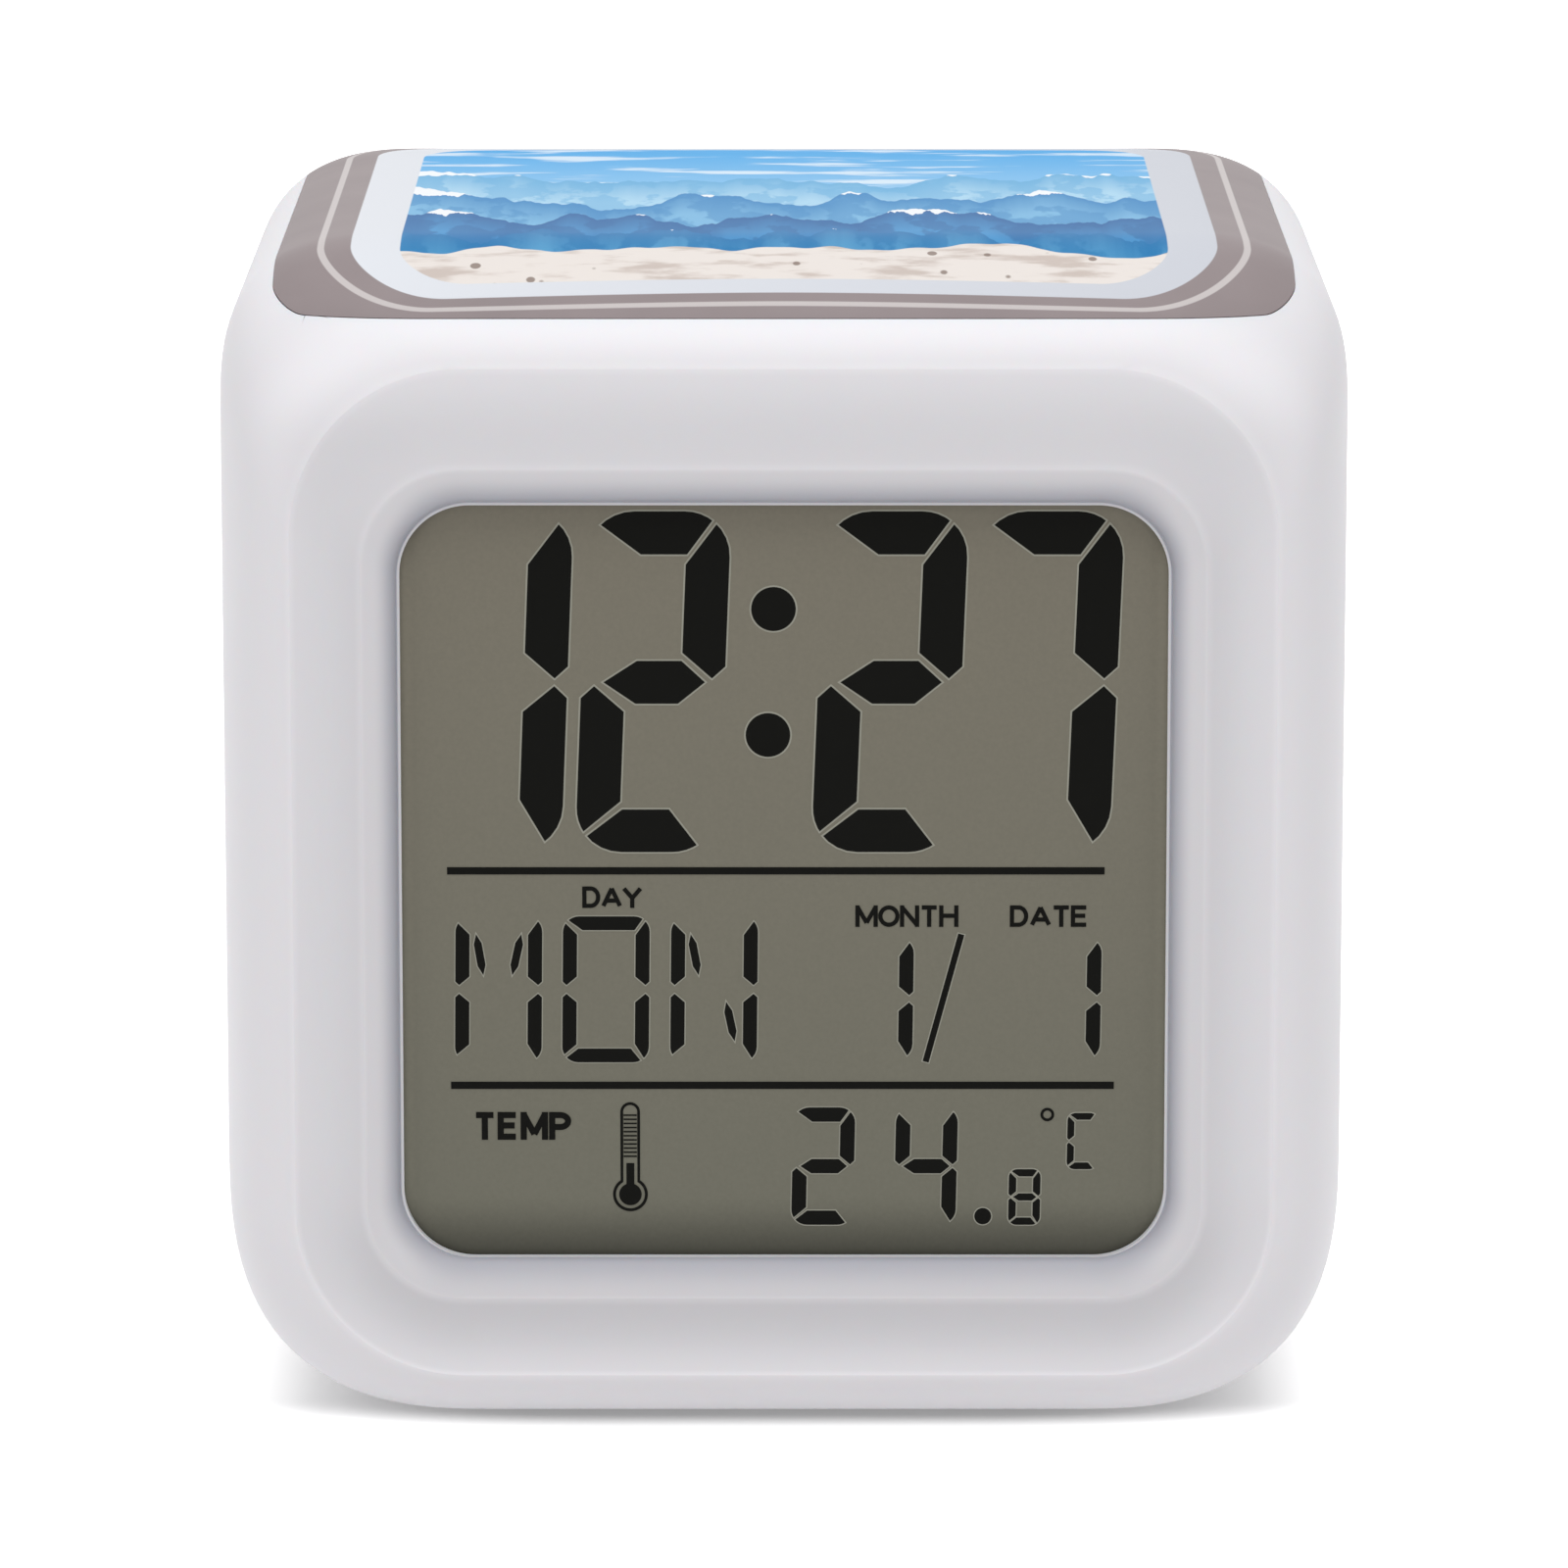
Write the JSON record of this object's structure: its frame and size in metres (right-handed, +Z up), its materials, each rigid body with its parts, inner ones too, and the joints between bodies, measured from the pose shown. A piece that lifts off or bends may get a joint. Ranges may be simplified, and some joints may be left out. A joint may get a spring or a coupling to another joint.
{
  "type": "digital alarm clock",
  "caption": "Cube-shaped digital alarm clock with a square segment display, a printed top, back buttons, a battery door and a sprung press plate under it.",
  "frame": {"origin": "on the table under the middle of the clock, on the underside of the grip pad", "axes": "+Z up, the display faces -Y, +X is to the right of someone facing the display"},
  "size_m": [0.08, 0.074, 0.0865],
  "materials": {
    "shell_plastic": "moulded translucent white, satin",
    "button_plastic": "moulded white, satin",
    "printed_film": "printed film, satin",
    "display_glass": "reflective liquid crystal display, smooth",
    "diffuser_acrylic": "milky acrylic",
    "holder_plastic": "moulded black",
    "circuit_board": "glass-epoxy laminate with green mask",
    "elastomer": "conductive elastomer strip",
    "grip_rubber": "moulded grey rubber",
    "led_resin": "clear cast resin",
    "black_epoxy": "moulded black",
    "cell_jacket": "plain dark shrink-wrapped jacket",
    "red_wire": "insulated wire",
    "black_wire": "insulated wire",
    "ribbon_plastic": "flat cable",
    "plated_steel": "zinc-plated",
    "spring_steel": "nickel-plated"
  },
  "bodies": {
    "clock": {"housing": "shell_plastic", "back_panel": "shell_plastic", "spring_carrier": "shell_plastic", "top_print": "printed_film", "lcd_cell": "display_glass", "light_diffuser": "diffuser_acrylic", "lcd_holder": "holder_plastic", "zebra_strip": "elastomer", "main_board": "circuit_board", "button_board": "circuit_board", "buzzer": "black_epoxy", "control_chip": "black_epoxy", "thermistor": "black_epoxy", "press_switch": "black_epoxy", "clock_crystal": "plated_steel", "light_switch_body": "plated_steel", "ribbon_cable": "ribbon_plastic", "battery_lead_red": "red_wire", "battery_lead_black": "black_wire", "contact_strip_left": "spring_steel", "contact_strip_right": "spring_steel", "colour_led_left": "led_resin", "colour_led_right": "led_resin", "button_board_screw_left": "plated_steel", "button_board_screw_right": "plated_steel", "carrier_screw_1": "plated_steel", "carrier_screw_2": "plated_steel", "board_screw_1": "plated_steel", "panel_screw_1": "plated_steel", "battery_cell_1": "cell_jacket", "battery_spring_1": "spring_steel", "tact_switch_1": "black_epoxy", "press_spring_1": "spring_steel", "board_screw_2": "plated_steel", "panel_screw_2": "plated_steel", "battery_cell_2": "cell_jacket", "battery_spring_2": "spring_steel", "tact_switch_2": "black_epoxy", "press_spring_2": "spring_steel", "board_screw_3": "plated_steel", "panel_screw_3": "plated_steel", "battery_cell_3": "cell_jacket", "battery_spring_3": "spring_steel", "tact_switch_3": "black_epoxy", "press_spring_3": "spring_steel", "board_screw_4": "plated_steel", "panel_screw_4": "plated_steel", "battery_cell_4": "cell_jacket", "battery_spring_4": "spring_steel", "tact_switch_4": "black_epoxy", "press_spring_4": "spring_steel"},
    "press_plate": {"press_plate": "shell_plastic", "grip_pad": "grip_rubber"},
    "battery_door": {"battery_door": "shell_plastic"},
    "light_switch": {"light_switch_knob": "holder_plastic"},
    "mode_button": {"mode_button": "button_plastic"},
    "set_button": {"set_button": "button_plastic"},
    "up_button": {"up_button": "button_plastic"},
    "down_button": {"down_button": "button_plastic"}
  },
  "joints": [
    {"name": "press_plate_slide", "type": "slide", "parent": "clock", "child": "press_plate", "axis": [0, 0, 1], "range_m": [0, 0.001], "stiffness_N_per_m": 2000, "springref_m": -0.0025, "deforming": ["press_spring_1", "press_spring_2", "press_spring_3", "press_spring_4"]},
    {"name": "battery_door_hinge", "type": "hinge", "parent": "clock", "child": "battery_door", "pos_m": [0, 0.037, 0.01185], "axis": [-1, 0, 0], "range_deg": [0, 100]},
    {"name": "light_switch_slide", "type": "slide", "parent": "clock", "child": "light_switch", "axis": [1, 0, 0], "range_m": [0, 0.002]},
    {"name": "mode_button_press", "type": "slide", "parent": "clock", "child": "mode_button", "axis": [0, -1, 0], "range_m": [0, 0.0006], "stiffness_N_per_m": 400, "springref_m": -0.001},
    {"name": "set_button_press", "type": "slide", "parent": "clock", "child": "set_button", "axis": [0, -1, 0], "range_m": [0, 0.0006], "stiffness_N_per_m": 400, "springref_m": -0.001},
    {"name": "up_button_press", "type": "slide", "parent": "clock", "child": "up_button", "axis": [0, -1, 0], "range_m": [0, 0.0006], "stiffness_N_per_m": 400, "springref_m": -0.001},
    {"name": "down_button_press", "type": "slide", "parent": "clock", "child": "down_button", "axis": [0, -1, 0], "range_m": [0, 0.0006], "stiffness_N_per_m": 400, "springref_m": -0.001}
  ]
}
